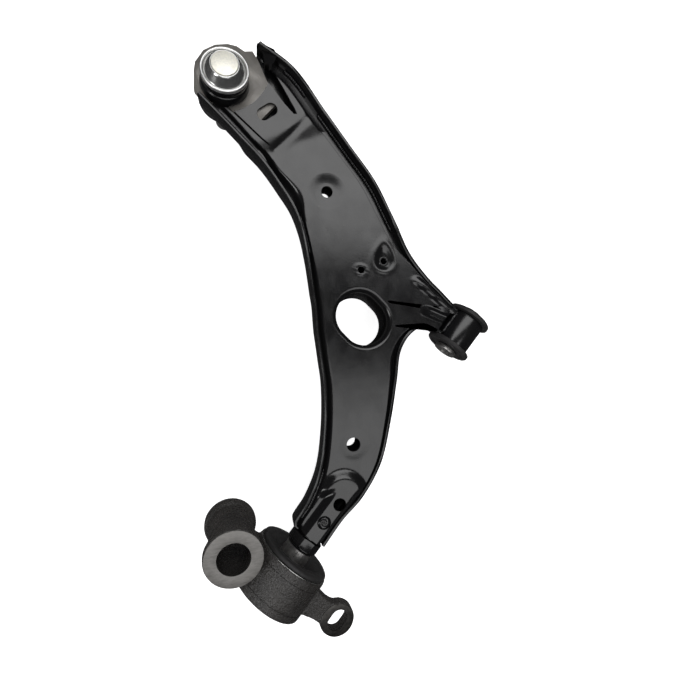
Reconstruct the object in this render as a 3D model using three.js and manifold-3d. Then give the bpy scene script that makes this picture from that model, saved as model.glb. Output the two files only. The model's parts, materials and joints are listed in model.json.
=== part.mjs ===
// Automotive lower control arm: two nested steel stampings, a ball joint on a clamped plate,
// a horizontal front bushing in a welded eye, and a forged rear shank in a bushed cast bracket.
// Millimetres, +Z up. The shapes are drawn in the arm's own frame, where the flat of the upper
// panel is z = 0, and the finished group is moved so that its origin is on the floor below it.
import * as THREE from 'three';
import { mergeVertices } from 'three/addons/utils/BufferGeometryUtils.js';
import Module from 'manifold-3d';

const wasm = await Module();
wasm.setup();

// ---------------------------------------------------------------- driving dimensions
const SHEET = 3.2;            // thickness of both stampings
const GAP = 0.3;              // air between separate pieces that touch
const FLOOR_TOP = -22.3;      // upper face of the lower stamping's floor
const FLOOR_AT_PLATE = -14.1; // the same face where it clamps the ball joint plate
const WALL_TOP_FRONT = 4;     // top of the side walls beside the ball joint
const WALL_TOP_REAR = -3;     // top of the side walls from the big hole rearwards
const LEDGE_Z = -7.5;         // height of the panel's side ledges, on its upper face
const TONGUE_Z = -4;          // height of the panel's end tongue, on its upper face
const HUMP_Z = 4.4;           // height of the panel where it covers the shank

// The pivot line that both bushings share.
const PIVOT_POINT = new THREE.Vector3(119, 5, -10.5);
const PIVOT_AXIS = new THREE.Vector3(0.619, 0.785, 0).normalize();
const PIVOT_SIDE = new THREE.Vector3(PIVOT_AXIS.y, -PIVOT_AXIS.x, 0);

const EYE = { from: -12, to: 19.2, outer: 17.5, inner: 14.8 };
const FRONT_BUSH = { flange: 22, lip: 4.2, sleeve: 14.5, rubber: 13, core: 8.5, bore: 6.2, flare: 11 };

const SHANK = { tip: -237.5, root: 11, rootLength: 52, collar: 15.5, flat: 14.5, pin: 10, shoulder: -250 };
const REAR_BUSH = { front: -260, back: -301, sleeve: 31, rubber: 29, lip: 35, core: 13.4, coreBack: -306 };
const BARREL = { outer: 37, bore: 31.3 };
const BRACKET_TURN = THREE.MathUtils.degToRad(7);
const BOSS = { side: -57.5, along: 4, half: 34, flange: 25, waist: 20.5, bore: 14, rim: 8 };
const EAR = { side: 75, along: -6.5, half: 5.5, radius: 17, slotWidth: 16, slotLength: 22, neck: 26 };

// The ball joint, measured along its own axis from the upper face of its plate.
const JOINT_CENTRE = new THREE.Vector3(-103.5, 229.5, -7.5);
const JOINT_LEAN = THREE.MathUtils.degToRad(7);
const JOINT_LEAN_TOWARD = THREE.MathUtils.degToRad(60);
const PLATE_THICK = 6.3;
const BALL_RADIUS = 13.5;
const SEAT_AIR = 0.25;        // between the faceted ball and its shell
const HOUSING = { upper: 22.5, lower: 20.5, bore: 16.5, top: 15, bottom: -19 };

const FRONT_DIMPLE = { x: -12, y: 136, radius: 17, depth: 5, hole: 5.3 };
const REAR_DIMPLE = { x: 13, y: -97, radius: 15.5, depth: 3, hole: 6.5 };
const BIG_HOLE = { x: 20, y: 17, radius: 22, bend: 3, stretch: 8, depth: 9 };
const SMALL_HOLE = { x: 20, y: 65, radius: 3.2 };
const POCKET = { x: 42, y: 74, reach: 15, depth: 3, hole: 2.8 };
const DRAIN_HOLE = { x: -1, y: -150, radius: 6 };

// The arm's plan: opposite points of the left and right edges, from the ball joint to the shank.
const LEFT_EDGE = [
  [-126, 212], [-107, 194], [-90, 177], [-72, 159], [-55, 136], [-44, 119], [-36, 98],
  [-31, 76], [-28, 58], [-26, 44], [-24, 32], [-23, 20], [-22, 8], [-20, -6],
  [-18, -20], [-15, -42], [-15, -84], [-20, -122], [-31, -149], [-42, -166], [-42, -170],
];
const RIGHT_EDGE = [
  [-72, 264], [-42, 244], [-14, 208], [10, 177], [33, 147], [50, 115], [67, 83],
  [85, 62], [101, 47], [121, 27], [112, 16], [103, 4], [84, 13], [70, 6],
  [60, -10], [56, -38], [50, -76], [40, -117], [22, -148], [4, -167], [-14, -191],
];
const BRANCH_START = 9;       // these two stations end the front branch, at the eye
const BRANCH_END = 11;
const LAST_STATION = LEFT_EDGE.length - 1;

// ---------------------------------------------------------------- solids and helpers
const UP = new THREE.Vector3(0, 0, 1);
const SIDES = 32;             // facets around a turned piece

const PLAN_STEP = 0.4;        // spacing of the plan's cross lines, in stations

function solid(geometry) {
  const bare = geometry.index ? geometry.toNonIndexed() : geometry.clone();
  bare.deleteAttribute('normal');
  bare.deleteAttribute('uv');
  const merged = mergeVertices(bare, 1e-4);
  const corners = merged.index.array;
  const kept = [];
  for (let i = 0; i < corners.length; i += 3) {
    const [a, b, c] = [corners[i], corners[i + 1], corners[i + 2]];
    if (a !== b && b !== c && c !== a) kept.push(a, b, c);
  }
  return new wasm.Manifold(new wasm.Mesh({
    numProp: 3,
    vertProperties: new Float32Array(merged.attributes.position.array),
    triVerts: new Uint32Array(kept),
  }));
}

// The main body of a solid: a cut can leave crumbs of no size along a seam.
function mainBody(body) {
  return body.decompose().sort((a, b) => b.volume() - a.volume())[0];
}

function geometryOf(body) {
  const mesh = mainBody(body).getMesh();
  const geometry = new THREE.BufferGeometry();
  geometry.setAttribute('position', new THREE.BufferAttribute(new Float32Array(mesh.vertProperties), 3));
  geometry.setIndex(new THREE.BufferAttribute(new Uint32Array(mesh.triVerts), 1));
  geometry.computeVertexNormals();
  return geometry;
}

// A flat outline, pushed up from one height to another.
function prism(points, low, high) {
  const shape = new THREE.Shape(points.map(([x, y]) => new THREE.Vector2(x, y)));
  const geometry = new THREE.ExtrudeGeometry(shape, { depth: high - low, bevelEnabled: false });
  return solid(geometry.translate(0, 0, low));
}

// A profile of [radius, height] pairs turned about the Z axis, with a hollow when it closes on itself.
function turned(profile, segments = SIDES) {
  const points = profile.map(([radius, height]) => new THREE.Vector2(radius, height));
  let area = 0;
  points.forEach((point, i) => { area += point.cross(points[(i + 1) % points.length]); });
  if (area < 0) points.reverse();
  if (points.every((point) => point.x > 0)) points.push(points[0].clone());
  const geometry = new THREE.LatheGeometry(points, segments);
  return solid(geometry.rotateX(Math.PI / 2));
}

function rod(radius, low, high, segments = SIDES) {
  return turned([[0, low], [radius, low], [radius, high], [0, high]], segments);
}

function pipe(outer, inner, low, high, segments = SIDES) {
  return turned([[inner, low], [outer, low], [outer, high], [inner, high]], segments);
}

function block(xRange, yRange, zRange) {
  const size = [xRange, yRange, zRange].map(([low, high]) => high - low);
  const middle = [xRange, yRange, zRange].map(([low, high]) => (high + low) / 2);
  return solid(new THREE.BoxGeometry(...size).translate(...middle));
}

// Moves a body so that its own Z runs along an axis through a point, and its X along a side.
function placed(body, point, axis, side) {
  const z = axis.clone().normalize();
  const y = new THREE.Vector3().crossVectors(z, side).normalize();
  const x = new THREE.Vector3().crossVectors(y, z);
  const matrix = new THREE.Matrix4().makeBasis(x, y, z).setPosition(point);
  return body.transform(matrix.elements);
}

function obround(centre, radius, stretch, steps = 16) {
  const points = [];
  for (let half = 0; half < 2; half += 1) {
    const shift = (half === 0 ? 1 : -1) * stretch / 2;
    for (let i = 0; i <= steps; i += 1) {
      const angle = -Math.PI / 4 - Math.PI / 2 + half * Math.PI + (i / steps) * Math.PI;
      points.push([
        centre.x + shift * Math.SQRT1_2 + radius * Math.cos(angle),
        centre.y - shift * Math.SQRT1_2 + radius * Math.sin(angle),
      ]);
    }
  }
  return points;
}

function circle(centre, radius, steps = 32) {
  return obround(centre, radius, 0, steps / 2).filter((_, i) => i !== steps / 2 + 1);
}

// ---------------------------------------------------------------- the arm's plan
function spline(points) {
  return new THREE.CatmullRomCurve3(points.map(([x, y]) => new THREE.Vector3(x, y, 0)), false, 'centripetal');
}

const leftCurve = spline(LEFT_EDGE);
const rightCurves = [
  { first: 0, last: BRANCH_START, curve: spline(RIGHT_EDGE.slice(0, BRANCH_START + 1)) },
  { first: BRANCH_START, last: BRANCH_END, curve: spline(RIGHT_EDGE.slice(BRANCH_START, BRANCH_END + 1)) },
  { first: BRANCH_END, last: LAST_STATION, curve: spline(RIGHT_EDGE.slice(BRANCH_END)) },
];

// A point of an edge at a station, moved inwards by an inset. Only the branch's end has no inset.
function edgePoint(side, station, inset) {
  let curve = leftCurve;
  let amount = station / LAST_STATION;
  let share = inset;
  if (side === 'right') {
    const piece = rightCurves.find(({ last }) => station <= last + 1e-9);
    curve = piece.curve;
    amount = (station - piece.first) / (piece.last - piece.first);
    if (piece.first === BRANCH_START) share = 0;
  }
  const along = curve.getTangent(Math.min(1, amount));
  const turn = side === 'left' ? 1 : -1;
  const inward = new THREE.Vector3(-along.y * turn, along.x * turn, 0);
  return curve.getPoint(Math.min(1, amount)).addScaledVector(inward, share);
}

function stations(step) {
  const list = [];
  const count = Math.round(LAST_STATION / step);
  for (let i = 0; i <= count; i += 1) list.push((i * LAST_STATION) / count);
  return list;
}

const smooth = (value) => THREE.MathUtils.smoothstep(value, 0, 1);
const bump = (value, middle, width) => Math.exp(-(((value - middle) / width) ** 2));

// How far the flat of the panel starts from its own edge, and how much of that is a level ledge.
function leftMargin(station) {
  const ledge = 5 * (1 - smooth((station - 2.6) / 1));
  return { ledge, roll: 3 + 10 * bump(station, 4.3, 0.9) + 1.5 * smooth((station - 6) / 3) };
}

function rightMargin(station) {
  const ledge = 7.5 * (1 - smooth((station - 5.6) / 0.8));
  return { ledge, roll: 3.5 + 3 * bump(station, 14, 1.5) };
}

// Height of the panel's upper face at a station, from the distances to its two edges.
function panelHeight(point, station, fromLeft, fromRight) {
  const left = leftMargin(station);
  const right = rightMargin(station);
  const onLeft = 1 - smooth((fromLeft - left.ledge) / left.roll);
  const onRight = 1 - smooth((fromRight - right.ledge) / right.roll);
  const edge = Math.max(onLeft, onRight);
  const tongue = smooth((point.y - 0.45 * point.x - 197) / 12);
  const hump = smooth((-118 - point.y) / 22);
  const flat = TONGUE_Z * tongue + HUMP_Z * hump;
  return THREE.MathUtils.lerp(flat, LEDGE_Z, edge);
}

// The panel as a closed skin: a grid over the plan, its upper face and the same face one sheet lower.
function panelSkin() {
  const inset = SHEET + GAP;
  const rows = stations(PLAN_STEP);
  const shares = [0, 0.33, 0.67, 1];
  const columnsInside = 6;
  const top = [];
  const bottom = [];
  rows.forEach((station) => {
    const left = edgePoint('left', station, inset);
    const right = edgePoint('right', station, inset);
    const width = left.distanceTo(right);
    const leftSide = leftMargin(station);
    const rightSide = rightMargin(station);
    const inner = width - leftSide.ledge - leftSide.roll - rightSide.ledge - rightSide.roll;
    const steps = [0, leftSide.ledge * 0.5];
    shares.forEach((share) => steps.push(leftSide.ledge + leftSide.roll * share));
    for (let i = 1; i < columnsInside; i += 1) {
      steps.push(leftSide.ledge + leftSide.roll + (inner * i) / columnsInside);
    }
    shares.slice().reverse().forEach((share) => steps.push(width - rightSide.ledge - rightSide.roll * share));
    steps.push(width - rightSide.ledge * 0.5, width);
    // A ledge that has run out leaves its points almost on the edge, never quite.
    for (let i = 1; i < steps.length; i += 1) steps[i] = Math.max(steps[i], steps[i - 1] + 0.05);
    const scale = width / steps[steps.length - 1];
    steps.forEach((step) => {
      const distance = step * scale;
      const point = left.clone().lerp(right, distance / width);
      const height = panelHeight(point, station, distance, width - distance);
      top.push([point.x, point.y, height]);
      bottom.push([point.x, point.y, height - SHEET]);
    });
  });
  const columns = top.length / rows.length;
  const at = (row, column, level) => level * top.length + row * columns + column;
  const faces = [];
  const quad = (a, b, c, d) => faces.push(a, b, c, a, c, d);
  for (let row = 0; row + 1 < rows.length; row += 1) {
    for (let column = 0; column + 1 < columns; column += 1) {
      quad(at(row, column, 0), at(row + 1, column, 0), at(row + 1, column + 1, 0), at(row, column + 1, 0));
      quad(at(row, column, 1), at(row, column + 1, 1), at(row + 1, column + 1, 1), at(row + 1, column, 1));
    }
    quad(at(row, 0, 0), at(row, 0, 1), at(row + 1, 0, 1), at(row + 1, 0, 0));
    quad(at(row, columns - 1, 1), at(row, columns - 1, 0), at(row + 1, columns - 1, 0), at(row + 1, columns - 1, 1));
  }
  const last = rows.length - 1;
  for (let column = 0; column + 1 < columns; column += 1) {
    quad(at(0, column, 1), at(0, column, 0), at(0, column + 1, 0), at(0, column + 1, 1));
    quad(at(last, column, 0), at(last, column, 1), at(last, column + 1, 1), at(last, column + 1, 0));
  }
  const geometry = new THREE.BufferGeometry();
  geometry.setAttribute('position', new THREE.Float32BufferAttribute([...top, ...bottom].flat(), 3));
  geometry.setIndex(faces);
  return solid(geometry);
}

// The plan's outline at an inset, one ring of points.
function planOutline(inset, step = PLAN_STEP) {
  const rows = stations(step);
  const left = rows.map((station) => edgePoint('left', station, inset));
  const right = rows.map((station) => edgePoint('right', station, inset));
  return [...left, ...right.reverse()].map(({ x, y }) => [x, y]);
}

// A closed body through a stack of plan outlines, each with its own inset and height.
function planStack(levels) {
  const rings = levels.map(({ inset, z }) => planOutline(inset).map(([x, y]) => [x, y, z]));
  const count = rings[0].length;
  const flat = rings[0].map(([x, y]) => new THREE.Vector2(x, y));
  const cap = THREE.ShapeUtils.triangulateShape(flat, []);
  const faces = [];
  const topStart = (rings.length - 1) * count;
  cap.forEach(([a, b, c]) => {
    faces.push(a, c, b);
    faces.push(topStart + a, topStart + b, topStart + c);
  });
  for (let ring = 0; ring + 1 < rings.length; ring += 1) {
    for (let i = 0; i < count; i += 1) {
      const next = (i + 1) % count;
      const low = ring * count;
      const high = low + count;
      faces.push(low + i, low + next, high + next, low + i, high + next, high + i);
    }
  }
  const geometry = new THREE.BufferGeometry();
  geometry.setAttribute('position', new THREE.Float32BufferAttribute(rings.flat(2), 3));
  geometry.setIndex(faces);
  return solid(geometry);
}

// ---------------------------------------------------------------- frames of the sub-assemblies
const jointAxis = new THREE.Vector3(
  Math.sin(JOINT_LEAN) * Math.cos(JOINT_LEAN_TOWARD),
  Math.sin(JOINT_LEAN) * Math.sin(JOINT_LEAN_TOWARD),
  Math.cos(JOINT_LEAN),
);
const onJoint = (body) => placed(body, JOINT_CENTRE, jointAxis, new THREE.Vector3(1, 0, 0));
// On the pivot line a piece's own Z runs along it, its Y is up and its X is towards the arm.
const onPivot = (body) => placed(body, PIVOT_POINT, PIVOT_AXIS, PIVOT_SIDE.clone().negate());

const bracketMiddle = (REAR_BUSH.front + REAR_BUSH.back) / 2;
const bracketPoint = PIVOT_POINT.clone().addScaledVector(PIVOT_AXIS, bracketMiddle);
const bracketUp = UP.clone().applyAxisAngle(PIVOT_AXIS, BRACKET_TURN);
const bracketSide = PIVOT_SIDE.clone().applyAxisAngle(PIVOT_AXIS, BRACKET_TURN);
const onBracket = (body) => placed(body, bracketPoint, bracketUp, bracketSide);
const alongY = (body) => placed(body, new THREE.Vector3(), new THREE.Vector3(0, 1, 0), new THREE.Vector3(1, 0, 0));

// The direction from the arm towards the ball joint, and the direction across the arm there.
const END_POINT = new THREE.Vector3(-93, 235, 0);
const END_ACROSS = new THREE.Vector3(0.82, 0.57, 0).normalize();
const END_ALONG = new THREE.Vector3(-END_ACROSS.y, END_ACROSS.x, 0);

// ---------------------------------------------------------------- shared cutters
const flangeRoom = FRONT_BUSH.flange + 0.8;
const eyeClearance = onPivot(
  rod(EYE.outer + GAP, EYE.from - 30, EYE.to + 30)
    .add(rod(flangeRoom, EYE.from - 30, EYE.from))
    .add(rod(flangeRoom, EYE.to, EYE.to + 30)),
);
const shankRoom = onPivot(rod(SHANK.root + GAP, SHANK.tip - 5, SHANK.tip + SHANK.rootLength + GAP, 40));

// A wedge under the plate that lifts the floor there: its ramp starts at the given distance.
function plateLift(ceiling, rampStart) {
  const rise = ceiling - FLOOR_TOP;
  const side = [[rampStart, FLOOR_TOP - 20], [rampStart, ceiling - rise], [rampStart + rise, ceiling]];
  const outline = [...side, [rampStart + 100, ceiling], [rampStart + 100, FLOOR_TOP - 20]];
  return placed(prism(outline, -90, 90), END_POINT, END_ACROSS, END_ALONG);
}

// ---------------------------------------------------------------- stampings
function lowerStamping() {
  const under = FLOOR_TOP - SHEET;
  const outside = planStack([
    { inset: 2.4, z: under },
    { inset: 0.5, z: under + 1.6 },
    { inset: 0, z: under + 4 },
    { inset: 0, z: WALL_TOP_FRONT },
  ]).subtract(plateLift(FLOOR_AT_PLATE - SHEET, -56));
  const inside = planStack([
    { inset: SHEET + 2, z: FLOOR_TOP },
    { inset: SHEET, z: FLOOR_TOP + 2 },
    { inset: SHEET, z: WALL_TOP_FRONT + 5 },
  ]).subtract(plateLift(FLOOR_AT_PLATE, -56 - SHEET));
  // Both ends stay open: the plate goes in at one and the shank at the other.
  const plateMouth = placed(block([-32, 32], [-50, 50], [-40, 40]), END_POINT, UP, END_ACROSS)
    .intersect(block([-200, 0], [150, 300], [FLOOR_AT_PLATE, 40]));
  const mouth = [FLOOR_TOP - PIVOT_POINT.z, 40];
  const shankMouth = onPivot(block([-14, 14], mouth, [SHANK.tip - 10, SHANK.tip + 10]));
  // The walls step down from beside the ball joint to beside the big hole.
  const wallSteps = [[-300, WALL_TOP_REAR], [55, WALL_TOP_REAR], [105, WALL_TOP_FRONT], [300, WALL_TOP_FRONT]];
  const above = placed(
    prism([...wallSteps, [300, 30], [-300, 30]], -250, 250),
    new THREE.Vector3(), new THREE.Vector3(1, 0, 0), new THREE.Vector3(0, 1, 0),
  );
  let body = outside.subtract(inside).subtract(above).subtract(shankMouth);
  body = body.subtract(plateMouth.intersect(placed(
    block([-29, 29], [-12, 40], [-40, 40]), END_POINT, UP, END_ACROSS,
  )));
  const holes = [
    prism(obround(BIG_HOLE, BIG_HOLE.radius + 3.5, BIG_HOLE.stretch), -60, 60),
    prism(circle(FRONT_DIMPLE, FRONT_DIMPLE.hole), -60, 60),
    prism(circle(REAR_DIMPLE, REAR_DIMPLE.hole), -60, 60),
  ];
  holes.forEach((hole) => { body = body.subtract(hole); });
  const housingRoom = onJoint(rod(HOUSING.upper + 1, -60, 60));
  return body.subtract(eyeClearance).subtract(housingRoom).subtract(shankRoom);
}

// A round dish pressed into the panel, with a hole in its floor.
function dish({ x, y, radius, depth, hole }) {
  const flat = hole + 2.5;
  const ring = turned([
    [hole, -depth], [flat, -depth], [radius - 2, -0.6], [radius + 0.4, 0],
    [radius + 0.4, -SHEET], [radius - 2, -SHEET - 0.6], [flat, -SHEET - depth], [hole, -SHEET - depth],
  ]);
  return ring.translate([x, y, 0]);
}

// The turned-down flange of the big hole, swept around its outline.
function bigHoleFlange() {
  const rings = [];
  const wall = BIG_HOLE.radius + SHEET;
  const steps = [
    { radius: wall + BIG_HOLE.bend + 0.4, z: 0 },
    { radius: wall + 0.6, z: 0 },
    { radius: BIG_HOLE.radius + 1, z: -1 },
    { radius: BIG_HOLE.radius, z: -BIG_HOLE.bend },
    { radius: BIG_HOLE.radius, z: -BIG_HOLE.depth },
    { radius: wall, z: -BIG_HOLE.depth },
    { radius: wall, z: -BIG_HOLE.bend - 2 },
    { radius: wall + BIG_HOLE.bend + 0.4, z: -SHEET },
  ];
  steps.forEach(({ radius, z }) => {
    rings.push(obround(BIG_HOLE, radius, BIG_HOLE.stretch).map(([x, y]) => [x, y, z]));
  });
  const count = rings[0].length;
  const faces = [];
  rings.forEach((_, ring) => {
    const here = ring * count;
    const next = ((ring + 1) % rings.length) * count;
    for (let i = 0; i < count; i += 1) {
      const j = (i + 1) % count;
      faces.push(here + i, here + j, next + j, here + i, next + j, next + i);
    }
  });
  const geometry = new THREE.BufferGeometry();
  geometry.setAttribute('position', new THREE.Float32BufferAttribute(rings.flat(2), 3));
  geometry.setIndex(faces);
  return solid(geometry);
}

// The pocket is a shallow three-cornered press with a small hole.
function pocketOutline(grow) {
  const points = [];
  for (let corner = 0; corner < 3; corner += 1) {
    const out = THREE.MathUtils.degToRad(75 + corner * 120);
    for (let i = -2; i <= 2; i += 1) {
      const angle = out + THREE.MathUtils.degToRad(i * 28);
      points.push([
        POCKET.x + (POCKET.reach - 6) * Math.cos(out) + (6 + grow) * Math.cos(angle),
        POCKET.y + (POCKET.reach - 6) * Math.sin(out) + (6 + grow) * Math.sin(angle),
      ]);
    }
  }
  return points;
}

const TONGUE_SLOT = { x: -66, y: 206, length: 20, width: 12 };

function slotOutline({ x, y, length, width }, direction) {
  const radius = width / 2;
  const angle = Math.atan2(direction.y, direction.x) + Math.PI / 4;
  const straight = obround({ x: 0, y: 0 }, radius, length - width);
  return straight.map(([a, b]) => [
    x + a * Math.cos(angle) - b * Math.sin(angle),
    y + a * Math.sin(angle) + b * Math.cos(angle),
  ]);
}

function upperPanel() {
  let body = panelSkin();
  const through = (points) => { body = body.subtract(prism(points, -60, 60)); };
  // Between the two side strips the panel ends in an arc around the ball joint.
  const endZone = prism([
    [-105, 211], [-64, 175], [-40, 200], [-67.5, 254], [-50, 266], [-60, 300], [-170, 300], [-135, 207],
  ], -60, 60);
  const endArc = prism(circle({ x: -109, y: 248 }, 46.5, 64), -60, 60);
  const beyondStrips = prism([[-140, 207], [-105, 211], [-67.5, 254], [-45, 268], [-60, 320], [-180, 300]], -60, 60);
  body = body.subtract(endZone.intersect(endArc)).subtract(beyondStrips);
  // A slit parts the tongue from the left strip, and an open slot from the right strip.
  through([[-105.6, 210.6], [-64.6, 174.6], [-63.4, 175.8], [-104.4, 212]]);
  through([[-72, 258], [-67.5, 254], [-59, 241], [-51, 228], [-38.5, 208.5], [-42, 206], [-65, 232], [-74, 240]]);
  through(slotOutline(TONGUE_SLOT, END_ACROSS));
  [FRONT_DIMPLE, REAR_DIMPLE].forEach((dimple) => {
    through(circle(dimple, dimple.radius));
    body = body.add(dish(dimple));
  });
  through(obround(BIG_HOLE, BIG_HOLE.radius + SHEET + BIG_HOLE.bend, BIG_HOLE.stretch));
  body = body.add(bigHoleFlange());
  through(circle(SMALL_HOLE, SMALL_HOLE.radius, 16));
  through(circle(DRAIN_HOLE, DRAIN_HOLE.radius, 24));
  const pressed = prism(pocketOutline(SHEET * 0.7), -POCKET.depth - SHEET, -0.5)
    .subtract(prism(pocketOutline(0), -POCKET.depth, 1));
  body = body.subtract(prism(pocketOutline(0), -POCKET.depth, 20)).add(pressed);
  through(circle(POCKET, POCKET.hole, 16));
  // The plug weld's seat in the hump.
  body = body.subtract(plugSeat(PLUG.radius + GAP));
  return body.subtract(eyeClearance).subtract(shankRoom).subtract(onJoint(rod(HOUSING.upper + 1, -20, 60)));
}

// The plug weld fills a round hole over the shank and stands just proud of the panel.
const PLUG = { along: -217, radius: 6, top: 5 };

function plugSeat(radius, low = 0.8, high = 20) {
  const point = PIVOT_POINT.clone().addScaledVector(PIVOT_AXIS, PLUG.along);
  return rod(radius, low, high, 24).translate([point.x, point.y, 0]);
}

function plugWeld() {
  return plugSeat(PLUG.radius, 1.1, PLUG.top);
}

// ---------------------------------------------------------------- ball joint
function ballJointPlate() {
  const outline = [
    [-121.5, 209.6], [-105, 212.6], [-79.5, 190.6], [-54, 219.5], [-66, 235], [-74, 253], [-79, 261],
    [-86, 260], [-93, 264], [-101, 265], [-112, 263], [-122, 257], [-129, 246], [-130, 239], [-130, 221],
    [-124, 214],
  ];
  const top = JOINT_CENTRE.z;
  const plate = prism(outline, top - PLATE_THICK, top);
  const mouth = prism([[-117, 218], [-82, 254], [-90, 300], [-180, 260]], -50, 30);
  const channel = prism(planOutline(SHEET + GAP), -50, 30).add(mouth);
  let walls = prism(planOutline(-GAP), -40, 20).subtract(channel);
  ['left', 'right'].forEach((side) => {
    const end = edgePoint(side, 0, SHEET / 2);
    walls = walls.add(rod(SHEET / 2 + 2 * GAP, -40, 20, 16).translate([end.x, end.y, 0]));
  });
  return plate.subtract(walls).subtract(onJoint(rod(HOUSING.lower + GAP, -60, 60)));
}

function ballJointHousing() {
  const { upper, lower, bore, top, bottom } = HOUSING;
  const body = onJoint(turned([
    [bore, top], [upper, top], [upper, 9.5], [upper - 1, 9], [upper - 1, 7.6], [upper, 7.1],
    [upper, -4], [lower, -4], [lower, -11.5], [17.6, -12.5], [17.6, -17.4], [18.6, -17.8], [18.6, bottom],
    [15.8, bottom], [12.4, -10], [bore, -9.6],
  ]));
  const plateTop = JOINT_CENTRE.z;
  const slab = block([-180, -40], [150, 320], [plateTop - PLATE_THICK - 10, plateTop + GAP]);
  return body.subtract(slab.subtract(onJoint(rod(lower, -60, 60))));
}

function retainingRing() {
  return onJoint(turned([[20.9, 15.3], [22.8, 15.3], [22.8, 18.2], [22.2, 19], [21.3, 19], [20.9, 18.4]]));
}

function closingCap() {
  return onJoint(turned([[0, 15.3], [20.6, 15.3], [20.6, 18], [15.2, 20.2], [14.6, 20.6], [0, 20.6]]));
}

function preloadDisc() {
  return onJoint(rod(16.2, 14, 15));
}

// Points of the ball's outline between two heights, at a given radius of the sphere.
function sphereArc(radius, from, to, steps) {
  const start = Math.asin(from / radius);
  const end = Math.asin(to / radius);
  const points = [];
  for (let i = 0; i <= steps; i += 1) {
    const angle = start + ((end - start) * i) / steps;
    points.push([radius * Math.cos(angle), radius * Math.sin(angle)]);
  }
  return points;
}

function bearingShell() {
  const seat = sphereArc(BALL_RADIUS + SEAT_AIR, 12.6, -6.4, 8);
  return onJoint(turned([[12.8, -9.3], [16.2, -9.3], [16.2, 13.7], [seat[0][0], 13.7], ...seat]));
}

function ballStud() {
  const ball = sphereArc(BALL_RADIUS, -11.54, BALL_RADIUS, 10);
  ball[ball.length - 1][0] = 0;
  return onJoint(turned([
    [0, -62], [7.5, -62], [9, -60], [9, -48], [7.8, -46.5], [7.8, -42.5], [9, -41],
    [9, -27], [7, -22], ...ball,
  ]));
}

// The dust boot is drawn as two rigid shells about the ball, so that they pass each other as it tilts:
// a collar that the clamp ring holds on the housing, and a bowl that the stud carries.
function bootCollar() {
  return onJoint(turned([
    [17.9, -12.9], [19.6, -12.9], [19.6, -17.6], [20.2, -18.6], [19.5, -20.2], [18.2, -21.2], [17.6, -20],
    [18.9, -19.4], [18.9, -17.5], [17.9, -17.1],
  ]));
}

function dustBoot() {
  return onJoint(turned([
    [9.3, -36], [10.8, -36], [10.8, -31.2], [11.4, -28.6], [14.2, -26.9], [17.2, -25.1], [19.9, -22.9],
    [19, -21.9], [16.4, -23.9], [13.4, -25.7], [9.3, -27.5],
  ]));
}

// ---------------------------------------------------------------- front bushing
function frontEyeTube() {
  return onPivot(pipe(EYE.outer, EYE.inner, EYE.from, EYE.to));
}

function frontOuterSleeve() {
  return onPivot(pipe(FRONT_BUSH.sleeve, FRONT_BUSH.rubber + GAP, EYE.from, EYE.to));
}

function frontBushRubber() {
  const { flange, lip, rubber, core } = FRONT_BUSH;
  const near = EYE.from - GAP;
  const far = EYE.to + GAP;
  const inner = core + GAP;
  return onPivot(turned([
    [inner, near - lip], [flange - 1.5, near - lip], [flange, near - lip + 1.5], [flange, near],
    [rubber, near], [rubber, far], [flange, far], [flange, far + lip - 1.5], [flange - 1.5, far + lip],
    [inner, far + lip],
  ]));
}

function frontInnerSleeve() {
  const { lip, core, bore, flare } = FRONT_BUSH;
  const near = EYE.from - lip - 2 * GAP;
  const far = EYE.to + lip + 2 * GAP;
  const end = 3.7;
  return onPivot(turned([
    [bore, near - end], [flare, near - end], [flare, near], [core, near],
    [core, far], [flare, far], [flare, far + end], [bore, far + end],
  ]));
}

// ---------------------------------------------------------------- rear shank and bushing
function rearShank() {
  const { tip, root, rootLength, collar, flat, pin, shoulder } = SHANK;
  const body = turned([
    [0, REAR_BUSH.coreBack], [pin, REAR_BUSH.coreBack], [pin, shoulder], [12.5, shoulder], [collar, shoulder + 3],
    [collar, tip - GAP], [root, tip - GAP], [root, tip + rootLength - 2], [root - 2, tip + rootLength],
    [0, tip + rootLength],
  ]);
  // Two flats on the collar, above and below, from the forging.
  const above = block([-20, 20], [flat, 30], [shoulder, tip - GAP]);
  const below = block([-20, 20], [-30, -flat], [shoulder, tip - GAP]);
  return onPivot(body.subtract(above).subtract(below));
}

function rearInnerSleeve() {
  const { core, coreBack } = REAR_BUSH;
  return onPivot(pipe(core, SHANK.pin + GAP, coreBack, SHANK.shoulder - GAP));
}

function rearBushRubber() {
  const { front, back, rubber, lip, core } = REAR_BUSH;
  const inner = core + GAP;
  const face = front + GAP;
  return onPivot(turned([
    [inner, back + 3], [rubber, back + 3], [rubber, face], [lip, face], [lip, face + 3.2], [lip - 2, face + 4.5],
    [27, face + 4.5], [21, face + 1.2], [17, face - 4.3], [inner, face - 5.3],
  ]));
}

function rearOuterSleeve() {
  const { front, back, sleeve, rubber } = REAR_BUSH;
  return onPivot(pipe(sleeve, rubber + GAP, back, front));
}

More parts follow.
